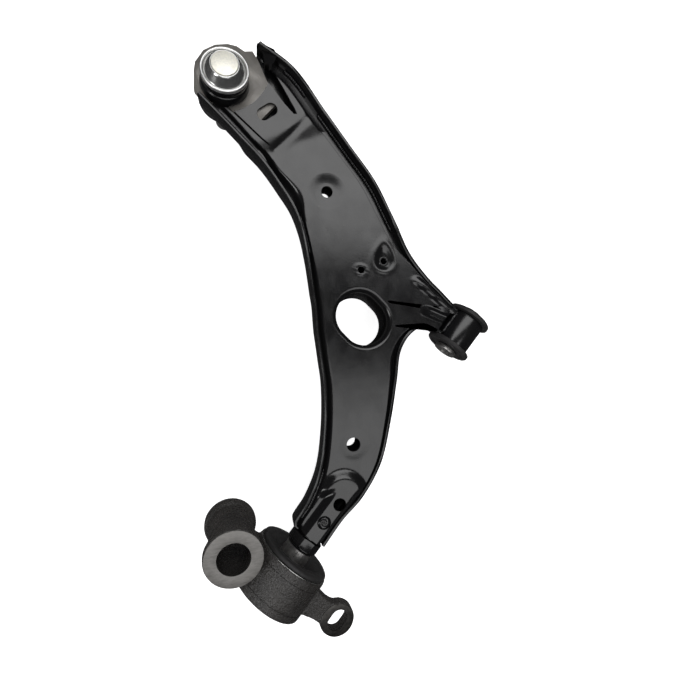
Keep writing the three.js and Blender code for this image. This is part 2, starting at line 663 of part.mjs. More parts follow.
function rearBracket() {
  const half = (REAR_BUSH.front - REAR_BUSH.back) / 2;
  const barrel = alongY(turned([
    [20, -half], [BARREL.outer - 1.5, -half], [BARREL.outer - 0.5, -half + 1], [BARREL.outer - 0.5, -4],
    [BARREL.outer, -3], [BARREL.outer, half - 5], [BARREL.outer - 1, half - 4], [BARREL.outer - 1, half],
    [20, half],
  ]));
  const { side, along, half: tall, flange, waist, bore, rim } = BOSS;
  const boss = turned([
    [0, -tall], [flange - 1.2, -tall], [flange - 1.2, -tall + rim], [waist, -tall + rim + 4],
    [waist, tall - rim - 4], [flange, tall - rim], [flange, tall], [0, tall],
  ]).translate([side, along, 0]);
  const web = block([side, -22], [along - 18, along + 12], [-17, 17]);
  const ear = rod(EAR.radius, -EAR.half, EAR.half).translate([EAR.side, EAR.along, 0]);
  const neckHalf = EAR.neck / 2;
  const neck = block([24, EAR.side], [EAR.along - neckHalf, EAR.along + neckHalf], [-EAR.half, EAR.half]);
  const slot = prism(
    slotOutline({ x: EAR.side, y: EAR.along, length: EAR.slotLength, width: EAR.slotWidth }, { x: 0, y: 1 }),
    -20, 20,
  );
  const body = barrel.add(boss).add(web).add(ear).add(neck)
    .subtract(alongY(rod(BARREL.bore, -half - 5, half + 5)))
    .subtract(rod(bore, -tall - 5, tall + 5, 40).translate([side, along, 0]))
    .subtract(slot);
  return onBracket(body);
}

// ---------------------------------------------------------------- weld beads
const BEAD_RADIUS = 1.5;

// A bead in the corner between a side wall and the panel's ledge, over a range of stations.
function seamWeld(side, from, to) {
  const inset = SHEET + GAP + BEAD_RADIUS;
  const points = [];
  for (let i = 0; i <= 8; i += 1) {
    const point = edgePoint(side, from + ((to - from) * i) / 8, inset);
    points.push(point.setZ(LEDGE_Z + GAP + BEAD_RADIUS));
  }
  const section = new THREE.Shape();
  section.absarc(0, 0, BEAD_RADIUS, 0, Math.PI * 2);
  const path = new THREE.CatmullRomCurve3(points);
  return solid(new THREE.ExtrudeGeometry(section, { steps: 24, curveSegments: 5, extrudePath: path }));
}

function eyeWeld() {
  const radius = 1.8;
  const reach = EYE.outer + GAP + radius;
  const rise = GAP + radius - PIVOT_POINT.z;
  const side = Math.sqrt(reach * reach - rise * rise);
  return onPivot(rod(radius, EYE.from + 3, EYE.to - 3, 16).translate([side, rise, 0]));
}

// ---------------------------------------------------------------- assembly
const MATERIALS = {
  paint: { color: 0x141519, roughness: 0.34, metalness: 0.2 },
  casting: { color: 0x18181a, roughness: 0.62, metalness: 0.25 },
  satin: { color: 0x8d8780, roughness: 0.45, metalness: 0.5 },
  zinc: { color: 0xdedbd2, roughness: 0.28, metalness: 0.85 },
  steel: { color: 0x9a9c9e, roughness: 0.35, metalness: 0.9 },
  rubber: { color: 0x131313, roughness: 0.85, metalness: 0 },
  plastic: { color: 0xd8d6cc, roughness: 0.5, metalness: 0 },
};

const PIECES = {
  lower_stamping: [lowerStamping, 'paint'],
  upper_panel: [upperPanel, 'paint'],
  shank_plug_weld: [plugWeld, 'satin'],
  left_seam_weld: [() => seamWeld('left', 0.7, 2.5), 'paint'],
  right_seam_weld: [() => seamWeld('right', 0.7, 5.4), 'paint'],
  eye_weld: [eyeWeld, 'paint'],
  ball_joint_plate: [ballJointPlate, 'satin'],
  ball_joint_housing: [ballJointHousing, 'paint'],
  retaining_ring: [retainingRing, 'zinc'],
  closing_cap: [closingCap, 'zinc'],
  preload_disc: [preloadDisc, 'steel'],
  bearing_shell: [bearingShell, 'plastic'],
  ball_stud: [ballStud, 'steel'],
  boot_collar: [bootCollar, 'rubber'],
  dust_boot: [dustBoot, 'rubber'],
  boot_clamp_ring: [() => onJoint(pipe(20.8, 19.9, -16.5, -13.5)), 'steel'],
  boot_neck_ring: [() => onJoint(pipe(12.2, 11.1, -35, -32)), 'steel'],
  front_eye_tube: [frontEyeTube, 'paint'],
  front_outer_sleeve: [frontOuterSleeve, 'steel'],
  front_bush_rubber: [frontBushRubber, 'rubber'],
  front_inner_sleeve: [frontInnerSleeve, 'steel'],
  rear_shank: [rearShank, 'paint'],
  rear_inner_sleeve: [rearInnerSleeve, 'steel'],
  rear_bush_rubber: [rearBushRubber, 'rubber'],
  rear_outer_sleeve: [rearOuterSleeve, 'steel'],
  rear_bracket: [rearBracket, 'casting'],
};

const controlArm = new THREE.Group();
Object.entries(PIECES).forEach(([name, [make, material]]) => {
  const mesh = new THREE.Mesh(geometryOf(make()), new THREE.MeshStandardMaterial(MATERIALS[material]));
  mesh.name = name;
  controlArm.add(mesh);
});

// The origin is on the floor, under the middle of the whole arm.
const bounds = new THREE.Box3().setFromObject(controlArm);
const middle = bounds.getCenter(new THREE.Vector3());
controlArm.position.set(-middle.x, -middle.y, -bounds.min.z);

export default controlArm;
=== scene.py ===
"""The looks of a lower control arm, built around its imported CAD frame.

Shapes are drawn in millimetres in the arm's own frame, where the flat of the upper panel is z = 0,
and each finished piece is moved into the row frame, in metres.
"""

import json
import math

import bpy
import numpy as np
from mathutils import Matrix, Vector, noise


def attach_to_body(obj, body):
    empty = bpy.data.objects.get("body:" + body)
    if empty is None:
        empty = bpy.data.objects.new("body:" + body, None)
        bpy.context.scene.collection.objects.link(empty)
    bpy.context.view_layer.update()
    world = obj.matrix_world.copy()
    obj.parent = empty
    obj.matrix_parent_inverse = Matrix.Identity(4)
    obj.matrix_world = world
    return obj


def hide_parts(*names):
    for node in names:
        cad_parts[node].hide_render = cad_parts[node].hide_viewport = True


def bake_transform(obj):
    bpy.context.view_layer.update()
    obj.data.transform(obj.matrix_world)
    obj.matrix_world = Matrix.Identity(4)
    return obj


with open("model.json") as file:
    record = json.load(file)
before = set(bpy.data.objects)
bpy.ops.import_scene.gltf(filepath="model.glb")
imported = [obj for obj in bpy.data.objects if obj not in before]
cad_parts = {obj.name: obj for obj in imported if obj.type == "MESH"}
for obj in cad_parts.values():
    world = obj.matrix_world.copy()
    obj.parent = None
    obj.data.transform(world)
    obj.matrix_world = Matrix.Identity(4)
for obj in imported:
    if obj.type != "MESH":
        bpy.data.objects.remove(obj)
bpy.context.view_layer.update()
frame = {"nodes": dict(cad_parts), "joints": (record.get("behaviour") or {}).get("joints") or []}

# ---------------------------------------------------------------- driving dimensions, in millimetres
SHEET = 3.2
GAP = 0.3
FLOOR_TOP = -22.3
FLOOR_AT_PLATE = -14.1
WALL_TOP_FRONT = 4.0
WALL_TOP_REAR = -3.0
LEDGE_Z = -7.5
TONGUE_Z = -4.0
HUMP_Z = 4.4
PIVOT_POINT = np.array([119.0, 5.0, -10.5])
PIVOT_AXIS = np.array(next(j["axis"] for j in frame["joints"] if j["name"] == "front_bush_twist"))
PIVOT_SIDE = np.array([PIVOT_AXIS[1], -PIVOT_AXIS[0], 0.0])
JOINT_CENTRE = np.array([-103.5, 229.5, -7.5])
SWIVEL = next(j for j in frame["joints"] if j["name"] == "ball_swivel")
JOINT_AXIS = np.array(SWIVEL["axis"])
ORIGIN = np.array(SWIVEL["pos_m"]) * 1000 - JOINT_CENTRE
BRACKET_TURN = math.radians(7)
BRACKET_ALONG = -280.5
BIG_HOLE = (20.0, 17.0)
RIM_CENTRE = (BIG_HOLE[0] + 1.8, BIG_HOLE[1] + 2.8)
BIG_HOLE_RADIUS = 22.0
BIG_HOLE_STRETCH = 8.0
RIM_ROLL = 3.4
FRONT_DIMPLE = (-12.0, 136.0)
FRONT_DIMPLE_RADIUS = 17.0
FRONT_DIMPLE_HOLE = 5.3
REAR_DIMPLE = (13.0, -97.0)
REAR_DIMPLE_RADIUS = 15.5
REAR_DIMPLE_HOLE = 6.5
POCKET = (42.0, 74.0)
SMALL_HOLE = (20.0, 65.0)
HOUSING_ROOM = 23.5
EYE_ROOM = 17.8
EYE_FLANGE_ROOM = 22.8
BOSS_AT = (-57.5, 4.0)
EAR_AT = (75.0, -6.5)
BARREL_HALF = 20.5
BEAD_STEP = 0.45
THROUGH = (-60, 60)
END_POINT = np.array([-93.0, 235.0, 0.0])
END_ACROSS = np.array([0.8211, 0.5708, 0.0])
END_ALONG = np.array([-0.5708, 0.8211, 0.0])
PLUG_ALONG = -217.0

# The plan of the arm: opposite points of its left and right edges, from the ball joint to the shank.
LEFT_EDGE = [
    (-126, 212), (-107, 194), (-90, 177), (-72, 159), (-55, 136), (-44, 119), (-36, 98),
    (-31, 76), (-28, 58), (-26, 44), (-24, 32), (-23, 20), (-22, 8), (-20, -6),
    (-18, -20), (-15, -42), (-15, -84), (-20, -122), (-31, -149), (-42, -166), (-42, -170),
]
RIGHT_EDGE = [
    (-72, 264), (-42, 244), (-14, 208), (10, 177), (33, 147), (50, 115), (67, 83),
    (85, 62), (101, 47), (121, 27), (112, 16), (103, 4), (84, 13), (70, 6),
    (60, -10), (56, -38), (50, -76), (40, -117), (22, -148), (4, -167), (-14, -191),
]
BRANCH_START = 9
BRANCH_END = 11
LAST_STATION = len(LEFT_EDGE) - 1
ROWS = 400


# ---------------------------------------------------------------- shapes: (points, faces) in millimetres
def smooth(value):
    value = np.clip(value, 0, 1)
    return value * value * (3 - 2 * value)


def bump_at(value, middle, width):
    return np.exp(-(((value - middle) / width) ** 2))


def joined(*shapes):
    points, faces, start = [], [], 0
    for verts, polys in shapes:
        points.append(verts)
        faces += [tuple(i + start for i in poly) for poly in polys]
        start += len(verts)
    return np.vstack(points), faces


def outward(shape):
    """The same closed shape with its faces turned outwards."""
    points, faces = shape
    volume = 0.0
    for poly in faces:
        a = points[poly[0]]
        for i in range(1, len(poly) - 1):
            volume += np.dot(a, np.cross(points[poly[i]], points[poly[i + 1]]))
    if volume < 0:
        faces = [tuple(reversed(poly)) for poly in faces]
    return points, faces


def loft(rings, around=False):
    """A closed shape through rings of equal length, with flat ends or joined round to the first ring."""
    count = len(rings[0])
    points = np.vstack(rings)
    faces = []
    last = len(rings) if around else len(rings) - 1
    for r in range(last):
        low, high = r * count, ((r + 1) % len(rings)) * count
        for i in range(count):
            j = (i + 1) % count
            faces.append((low + i, low + j, high + j, high + i))
    if not around:
        faces.append(tuple(reversed(range(count))))
        faces.append(tuple(range((len(rings) - 1) * count, len(rings) * count)))
    return outward((points, faces))


def prism(outline, low, high):
    flat = np.array(outline, float)
    return loft([np.column_stack([flat, np.full(len(flat), z)]) for z in (low, high)])


def softened(profile, radius, steps=3):
    """A profile with each inner corner rounded."""
    points = [np.array(p, float) for p in profile]
    closed = all(p[0] > 0 for p in points)
    result = []
    for i, corner in enumerate(points):
        if not closed and i in (0, len(points) - 1):
            result.append(corner)
            continue
        before, after = points[i - 1], points[(i + 1) % len(points)]
        back, ahead = before - corner, after - corner
        reach = min(radius, 0.45 * np.linalg.norm(back), 0.45 * np.linalg.norm(ahead))
        first = corner + back / np.linalg.norm(back) * reach
        second = corner + ahead / np.linalg.norm(ahead) * reach
        for step in range(steps + 1):
            t = step / steps
            result.append((1 - t) ** 2 * first + 2 * t * (1 - t) * corner + t * t * second)
    return result


def turned(profile, segments=96, radius=0.5, steps=3):
    """A profile of (radius, height) pairs turned about Z, its corners rounded."""
    profile = softened(profile, radius, steps) if radius else [np.array(p, float) for p in profile]
    angles = np.linspace(0, 2 * math.pi, segments, endpoint=False)
    points, rows = [], []
    for distance, height in profile:
        if distance < 1e-6:
            rows.append([len(points)] * segments)
            points.append((0, 0, height))
        else:
            rows.append(list(range(len(points), len(points) + segments)))
            points += [(distance * math.cos(a), distance * math.sin(a), height) for a in angles]
    around = profile[0][0] > 1e-6 and profile[-1][0] > 1e-6
    faces = []
    for r in range(len(rows) if around else len(rows) - 1):
        here, ahead = rows[r], rows[(r + 1) % len(rows)]
        for i in range(segments):
            j = (i + 1) % segments
            corners = []
            for corner in (here[i], here[j], ahead[j], ahead[i]):
                if corner not in corners:
                    corners.append(corner)
            if len(corners) > 2:
                faces.append(tuple(corners))
    return outward((np.array(points, float), faces))


def rod(radius, low, high, segments=96):
    return turned([(0, low), (radius, low), (radius, high), (0, high)], segments, radius=0)


def pipe(outer, inner, low, high, edge=0.4):
    return turned([(inner, low), (outer, low), (outer, high), (inner, high)], radius=edge)


def block(xs, ys, zs):
    return prism([(xs[0], ys[0]), (xs[1], ys[0]), (xs[1], ys[1]), (xs[0], ys[1])], *zs)


def moved(shape, x, y, z=0.0):
    return shape[0] + np.array([x, y, z]), shape[1]


def obround(centre, radius, stretch, angle=-math.pi / 4, steps=32):
    """Two half circles, drawn apart along an angle."""
    points = []
    along = np.array([math.cos(angle), math.sin(angle)])
    for half in (0, 1):
        middle = np.array(centre) + along * (0.5 - half) * stretch
        for i in range(steps + 1):
            turn = angle - math.pi / 2 + half * math.pi + math.pi * i / steps
            points.append(middle + radius * np.array([math.cos(turn), math.sin(turn)]))
    return np.array(points)


def circle(centre, radius, steps=64):
    angles = np.linspace(0, 2 * math.pi, steps, endpoint=False)
    return np.column_stack([centre[0] + radius * np.cos(angles), centre[1] + radius * np.sin(angles)])


def sweep(path, section):
    """A closed shape along a path. The section gives the (side, up) pairs at each point of it."""
    path = np.array(path, float)
    ahead = np.gradient(path, axis=0)
    ahead /= np.linalg.norm(ahead, axis=1)[:, None]
    rings = []
    for i, (point, along) in enumerate(zip(path, ahead)):
        side = np.cross(along, (0, 0, 1))
        side /= np.linalg.norm(side)
        up = np.cross(side, along)
        rings.append(np.array([point + a * side + b * up for a, b in section(i)]))
    return loft(rings)


def bead(path, width, height, seed):
    """A weld bead with the ripples that each pool leaves."""
    length = np.concatenate([[0], np.cumsum(np.linalg.norm(np.diff(path, axis=0), axis=1))])

    def section(i):
        wave = 1 + 0.16 * math.cos(2 * math.pi * length[i] / 2.1) ** 3
        wave += 0.22 * noise.noise(Vector((length[i] / 4.0, seed, 0)))
        taper = min(1, 0.25 + min(length[i], length[-1] - length[i]) / 3)
        angles = np.linspace(0, 2 * math.pi, 14, endpoint=False)
        return [(width * wave * taper * math.cos(a), height * wave * taper * math.sin(a)) for a in angles]

    return sweep(path, section)


# ---------------------------------------------------------------- frames of the sub-assemblies
def basis(point, axis, side):
    z = axis / np.linalg.norm(axis)
    y = np.cross(z, side)
    y /= np.linalg.norm(y)
    return np.array([np.cross(y, z), y, z]), np.array(point, float)


def placed(shape, where):
    rows, point = where
    return shape[0] @ rows + point, shape[1]


TURN = np.array(Matrix.Rotation(BRACKET_TURN, 3, Vector(PIVOT_AXIS)))
ON_JOINT = basis(JOINT_CENTRE, JOINT_AXIS, (1, 0, 0))
ON_PIVOT = basis(PIVOT_POINT, PIVOT_AXIS, -PIVOT_SIDE)
ON_BRACKET = basis(PIVOT_POINT + PIVOT_AXIS * BRACKET_ALONG, TURN @ np.array([0, 0, 1.0]), TURN @ PIVOT_SIDE)
ALONG_Y = basis((0, 0, 0), np.array([0, 1.0, 0]), (1, 0, 0))
ON_END = basis(END_POINT, np.array([0, 0, 1.0]), END_ACROSS)


# ---------------------------------------------------------------- the arm's plan
def spline(points, amounts):
    """Points and directions of a centripetal spline at amounts from 0 to 1."""
    known = np.array(points, float)
    spans = len(known) - 1
    known = np.vstack([2 * known[0] - known[1], known, 2 * known[-1] - known[-2]])
    place = np.clip(amounts, 0, 1) * spans
    index = np.minimum(place.astype(int), spans - 1)
    t = (place - index)[:, None]
    a, b, c, d = (known[index + i] for i in range(4))
    gaps = [np.sqrt(np.linalg.norm(q - p, axis=1))[:, None] for p, q in ((a, b), (b, c), (c, d))]
    leave = ((b - a) / gaps[0] - (c - a) / (gaps[0] + gaps[1]) + (c - b) / gaps[1]) * gaps[1]
    arrive = ((c - b) / gaps[1] - (d - b) / (gaps[1] + gaps[2]) + (d - c) / gaps[2]) * gaps[1]
    cube = 2 * b - 2 * c + leave + arrive
    square = -3 * b + 3 * c - 2 * leave - arrive
    at = b + leave * t + square * t ** 2 + cube * t ** 3
    along = leave + 2 * square * t + 3 * cube * t ** 2
    return at, along / np.linalg.norm(along, axis=1)[:, None]


def edge(side, stations, inset=0.0, at_branch=0.0):
    """The left or right edge of the plan, moved inwards by an inset. The branch's end has its own inset."""
    stations = np.atleast_1d(np.array(stations, float))
    if side == "left":
        at, along = spline(LEFT_EDGE, stations / LAST_STATION)
        return at + np.column_stack([-along[:, 1], along[:, 0]]) * inset
    result = np.zeros((len(stations), 2))
    for first, last in ((0, BRANCH_START), (BRANCH_START, BRANCH_END), (BRANCH_END, LAST_STATION)):
        low = stations > first + 1e-9 if first else stations >= 0
        chosen = low & (stations <= last + 1e-9)
        if chosen.any():
            at, along = spline(RIGHT_EDGE[first:last + 1], (stations[chosen] - first) / (last - first))
            amount = at_branch if first == BRANCH_START else inset
            result[chosen] = at + np.column_stack([along[:, 1], -along[:, 0]]) * amount
    return result


STATIONS = np.linspace(0, LAST_STATION, ROWS + 1)


def wall_top(y):
    return WALL_TOP_REAR + (WALL_TOP_FRONT - WALL_TOP_REAR) * np.clip((y - 55) / 50, 0, 1)


def plan_stack(levels):
    """A closed body through outlines of the plan. A level is an inset, an inset at the branch and a height."""
    rings = []
    for inset, at_branch, height in levels:
        flat = np.vstack([edge("left", STATIONS, inset), edge("right", STATIONS, inset, at_branch)[::-1]])
        z = height(flat[:, 0], flat[:, 1]) if callable(height) else np.full(len(flat), float(height))
        rings.append(np.column_stack([flat, z]))
    return loft(rings)


# ---------------------------------------------------------------- making pieces
SCENE = bpy.context.scene


def raw(name, shape):
    mesh = bpy.data.meshes.new(name)
    mesh.from_pydata([tuple(p) for p in shape[0]], [], shape[1])
    mesh.validate()
    obj = bpy.data.objects.new(name, mesh)
    SCENE.collection.objects.link(obj)
    return obj


def applied(obj):
    """Applies an object's modifiers."""
    state = bpy.context.evaluated_depsgraph_get()
    state.update()
    mesh = bpy.data.meshes.new_from_object(obj.evaluated_get(state))
    obj.modifiers.clear()
    obj.data = mesh


def combine_with(obj, tools, operation="DIFFERENCE"):
    """Cuts an object with other objects, or joins them to it, and removes them."""
    for tool in tools:
        step = obj.modifiers.new("combine", "BOOLEAN")
        step.operation = operation
        step.solver = "MANIFOLD"
        step.object = tool
    applied(obj)
    for tool in tools:
        bpy.data.objects.remove(tool)


def combine(obj, shapes, operation="DIFFERENCE"):
    combine_with(obj, [raw("tool", shape) for shape in shapes], operation)


def place_object(obj, where):
    """Moves an object's mesh from a sub-assembly's frame into the arm's."""
    rows, point = where
    obj.data.transform(Matrix([[*rows.T[i], point[i]] for i in range(3)] + [[0, 0, 0, 1]]))


def attach(obj, shape):
    """Adds a closed shape that meets a cut edge of an object exactly."""
    mesh = obj.data
    points = [tuple(v.co) for v in mesh.vertices]
    faces = [tuple(p.vertices) for p in mesh.polygons]
    start = len(points)
    points += [tuple(p) for p in shape[0]]
    faces += [tuple(i + start for i in poly) for poly in shape[1]]
    obj.data = bpy.data.meshes.new(mesh.name)
    obj.data.from_pydata(points, [], faces)


def finished(obj, material, body, nodes=(), angle=32.0):
    """Moves a piece from millimetres into the row frame, shades it and makes it ride."""
    mesh = obj.data
    mesh.transform(Matrix.Scale(0.001, 4) @ Matrix.Translation(Vector(ORIGIN)))
    mesh.materials.clear()
    mesh.materials.append(material)
    mesh.polygons.foreach_set("use_smooth", [True] * len(mesh.polygons))
    mesh.set_sharp_from_angle(angle=math.radians(angle))
    mesh.update()
    if body:
        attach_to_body(obj, body)
    if nodes:
        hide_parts(*nodes)
    return obj


# ---------------------------------------------------------------- materials
class Surface:
    """A node material with colour, roughness and relief built from procedural textures."""

    def __init__(self, name, base, rough, metallic=0.0, specular=0.5, coat=0.0):
        self.material = bpy.data.materials.new(name)
        self.material.use_nodes = True
        self.tree = self.material.node_tree
        self.shader = self.tree.nodes["Principled BSDF"]
        self.shader.inputs["Base Color"].default_value = (*base, 1)
        self.shader.inputs["Roughness"].default_value = rough
        self.shader.inputs["Metallic"].default_value = metallic
        self.shader.inputs["Specular IOR Level"].default_value = specular
        self.shader.inputs["Coat Weight"].default_value = coat
        self.coords = self.tree.nodes.new("ShaderNodeTexCoord").outputs["Object"]
        self.normal = None

    def node(self, kind, inputs, **settings):
        made = self.tree.nodes.new(kind)
        for key, value in settings.items():
            setattr(made, key, value)
        for key, value in inputs.items():
            if isinstance(value, bpy.types.NodeSocket):
                self.tree.links.new(value, made.inputs[key])
            else:
                made.inputs[key].default_value = value
        return made

    def noise(self, scale, detail=3.0, rough=0.55, stretch=None):
        vector = self.coords
        if stretch:
            vector = self.node("ShaderNodeMapping", {"Vector": vector, "Scale": stretch}).outputs[0]
        inputs = {"Vector": vector, "Scale": scale, "Detail": detail, "Roughness": rough}
        return self.node("ShaderNodeTexNoise", inputs).outputs["Fac"]

    def cells(self, scale):
        return self.node("ShaderNodeTexVoronoi", {"Vector": self.coords, "Scale": scale}).outputs["Distance"]

    def spread(self, value, low, high, to_low=0.0, to_high=1.0):
        inputs = {"Value": value, "From Min": low, "From Max": high, "To Min": to_low, "To Max": to_high}
        return self.node("ShaderNodeMapRange", inputs, interpolation_type="SMOOTHSTEP").outputs["Result"]

    def times(self, a, b):
        return self.node("ShaderNodeMath", {0: a, 1: b}, operation="MULTIPLY").outputs[0]

    def blend_colour(self, factor, first, second):
        made = self.tree.nodes.new("ShaderNodeMix")
        made.data_type = "RGBA"
        self.tree.links.new(factor, made.inputs["Factor"])
        for socket, value in ((made.inputs[6], first), (made.inputs[7], second)):
            if isinstance(value, bpy.types.NodeSocket):
                self.tree.links.new(value, socket)
            else:
                socket.default_value = (*value, 1)
        return made.outputs[2]

    def colour(self, socket):
        self.tree.links.new(socket, self.shader.inputs["Base Color"])

    def rough(self, socket):
        self.tree.links.new(socket, self.shader.inputs["Roughness"])

    def relief(self, height, depth, strength=1.0):
        inputs = {"Height": height, "Distance": depth, "Strength": strength}
        if self.normal is not None:
            inputs["Normal"] = self.normal
        self.normal = self.node("ShaderNodeBump", inputs).outputs["Normal"]
        self.tree.links.new(self.normal, self.shader.inputs["Normal"])


def paint_surface(name="black_paint", rough=(0.17, 0.25), grain=1.0):
    s = Surface(name, (0.012, 0.012, 0.014), 0.33, specular=0.5)
    cloud = s.noise(28, 4)
    specks = s.spread(s.cells(230), 0.10, 0.03)
    patches = s.spread(s.noise(14, 2), 0.52, 0.66)
    base = s.blend_colour(cloud, (0.004, 0.0042, 0.0054), (0.0095, 0.0092, 0.009))
    s.colour(s.blend_colour(s.times(specks, patches), base, (0.05, 0.04, 0.032)))
    streaks = s.noise(60, 5, 0.6, stretch=(1.3, 0.8, 1))
    s.rough(s.spread(streaks, 0.3, 0.72, *rough))
    s.relief(s.noise(26, 2), 0.0008 * grain, 0.3)
    s.relief(s.noise(620, 2), 0.00006 * grain, 0.5)
    return s.material


def casting_surface():
    s = Surface("cast_black", (0.02, 0.02, 0.02), 0.5, specular=0.55)
    s.colour(s.blend_colour(s.noise(45, 4), (0.011, 0.0108, 0.011), (0.048, 0.044, 0.041)))
    s.rough(s.spread(s.noise(260, 4), 0.3, 0.7, 0.17, 0.36))
    s.relief(s.noise(70, 3), 0.0016, 0.4)
    s.relief(s.noise(560, 3, 0.7), 0.0009, 0.9)
    s.relief(s.cells(800), 0.0004, 0.7)
    return s.material


def machined_surface():
    """A face turned on a lathe, then painted thin: fine marks and a grey-brown sheen."""
    s = Surface("machined_face", (0.1, 0.097, 0.092), 0.36, metallic=0.35, specular=0.5)
    marks = s.noise(160, 5, 0.7, stretch=(1, 3.2, 1))
    s.colour(s.blend_colour(s.spread(marks, 0.3, 0.7), (0.13, 0.125, 0.118), (0.21, 0.202, 0.192)))
    s.rough(s.spread(marks, 0.3, 0.7, 0.3, 0.46))
    s.relief(marks, 0.0001, 0.5)
    return s.material


def plate_surface():
    # The plate is black satin paint like the panel. Its light taupe base colour is painted sheen, standing in
    # for the extra light the plate reflects; the tone also varies at random.
    s = Surface("plate_satin", (0.1, 0.097, 0.09), 0.4, metallic=0.3)
    cloud = s.noise(55, 5, 0.6)
    s.colour(s.blend_colour(s.spread(cloud, 0.3, 0.75), (0.14, 0.132, 0.122), (0.2, 0.189, 0.172)))
    s.rough(s.spread(s.noise(220, 4), 0.3, 0.7, 0.34, 0.5))
    s.relief(s.noise(480, 3), 0.0001, 0.5)
    return s.material


def metal_surface(name, light, dark, rough, scale=300.0, depth=0.00004):
    s = Surface(name, light, rough[0], metallic=0.9)
    cloud = s.noise(scale, 5, 0.65)
    s.colour(s.blend_colour(s.spread(cloud, 0.35, 0.75), light, dark))
    s.rough(s.spread(s.noise(scale * 0.6, 4), 0.3, 0.7, *rough))
    s.relief(cloud, depth, 0.6)
    return s.material


def cap_surface():
    """Pale zinc plate with a faint grain, spotted by handling."""
    s = Surface("zinc_cap", (0.8, 0.79, 0.72), 0.4, metallic=0.45)
    spots = s.spread(s.cells(520), 0.22, 0.08)
    rare = s.spread(s.noise(60, 2), 0.6, 0.72)
    base = s.blend_colour(s.spread(s.noise(700, 3), 0.3, 0.75), (0.9, 0.88, 0.78), (0.76, 0.75, 0.68))
    s.colour(s.blend_colour(s.times(spots, rare), base, (0.3, 0.28, 0.24)))
    s.rough(s.spread(s.noise(240, 4), 0.3, 0.7, 0.34, 0.52))
    s.relief(s.noise(900, 3), 0.00005, 0.6)
    return s.material


def rubber_surface():
    s = Surface("black_rubber", (0.014, 0.014, 0.014), 0.62, specular=0.4)
    s.colour(s.blend_colour(s.noise(70, 4), (0.01, 0.01, 0.0105), (0.026, 0.025, 0.025)))
    s.rough(s.spread(s.noise(160, 4), 0.3, 0.7, 0.48, 0.74))
    s.relief(s.noise(900, 2), 0.00008, 0.5)
    return s.material


def plastic_surface():
    s = Surface("bearing_plastic", (0.7, 0.69, 0.64), 0.45)
    s.colour(s.blend_colour(s.noise(120, 3), (0.72, 0.71, 0.66), (0.6, 0.59, 0.54)))
    s.rough(s.spread(s.noise(200, 2), 0.3, 0.7, 0.38, 0.52))
    return s.material


def floor_surface():
    s = Surface("floor", (0.9, 0.9, 0.9), 0.85, specular=0.1)
    s.colour(s.blend_colour(s.noise(3, 2), (0.9, 0.9, 0.9), (0.88, 0.88, 0.88)))
    s.shader.inputs["Emission Color"].default_value = (1, 1, 1, 1)
    s.shader.inputs["Emission Strength"].default_value = 0.85
    return s.material


PAINT = paint_surface()
WELD = paint_surface("weld_steel", (0.14, 0.26), 1.6)
CASTING = casting_surface()
WORN = metal_surface("worn_face", (0.07, 0.067, 0.063), (0.035, 0.033, 0.031), (0.28, 0.42))
MACHINED = machined_surface()
PLATE = plate_surface()
CAP = cap_surface()
ZINC = metal_surface("zinc", (0.93, 0.93, 0.92), (0.8, 0.8, 0.79), (0.3, 0.42))
BRIGHT = metal_surface("cap_bevel", (0.5, 0.5, 0.49), (0.38, 0.38, 0.37), (0.18, 0.26), 160.0)
STEEL = metal_surface("steel", (0.42, 0.41, 0.4), (0.28, 0.275, 0.27), (0.26, 0.42))
RUBBER = rubber_surface()
PLASTIC = plastic_surface()


# ---------------------------------------------------------------- cutters that several pieces share
def eye_rooms():
    return [
        placed(rod(EYE_ROOM, -42, 50), ON_PIVOT),
        placed(rod(EYE_FLANGE_ROOM, -42, -12), ON_PIVOT),
        placed(rod(EYE_FLANGE_ROOM, 19.2, 50), ON_PIVOT),
    ]


def shank_room():
    return placed(rod(11.3, -242.5, -185.2), ON_PIVOT)


# ---------------------------------------------------------------- stampings
def lower_stamping():
    under = FLOOR_TOP - SHEET

    def lifted(base):
        def height(x, y):
            along = (x - END_POINT[0]) * END_ALONG[0] + (y - END_POINT[1]) * END_ALONG[1]
            return base + (FLOOR_AT_PLATE - FLOOR_TOP) * smooth((along + 56) / 10)
        return height

    def below_top(drop):
        return lambda x, y: wall_top(y) - drop

    outside = plan_stack([
        (3.4, 3.4, lifted(under)), (1.7, 1.7, lifted(under + 0.5)), (0.5, 0.5, lifted(under + 1.7)),
        (0, 0, lifted(under + 3.6)), (0, 0, below_top(0.9)), (0.25, 0, below_top(0.3)), (0.9, 0, below_top(0)),
    ])
    inside = plan_stack([
        (SHEET + 1.8, -4, lifted(FLOOR_TOP)), (SHEET + 0.5, -4, lifted(FLOOR_TOP + 0.5)),
        (SHEET, -4, lifted(FLOOR_TOP + 1.8)), (SHEET, -4, below_top(0.9)), (SHEET - 0.25, -4, below_top(0.3)),
        (SHEET - 0.9, -4, below_top(0)), (SHEET - 0.9, -4, 20),
    ])
    body = raw("lower_stamping_sheet", outside)
    combine(body, [inside])
    mouth = placed(block((-14, 14), (FLOOR_TOP - PIVOT_POINT[2], 40), (-247.5, -227.5)), ON_PIVOT)
    combine(body, [
        placed(block((-29, 29), (-12, 40), (FLOOR_AT_PLATE, 40)), ON_END), mouth,
        prism(obround(BIG_HOLE, BIG_HOLE_RADIUS - 1, BIG_HOLE_STRETCH), *THROUGH),
        prism(circle(FRONT_DIMPLE, FRONT_DIMPLE_HOLE), *THROUGH),
        prism(circle(REAR_DIMPLE, REAR_DIMPLE_HOLE), *THROUGH),
        placed(rod(HOUSING_ROOM, *THROUGH), ON_JOINT), shank_room(), *eye_rooms(),
    ])
    attach(body, folded_tab())
    finished(body, PAINT, "arm", ["lower_stamping"])


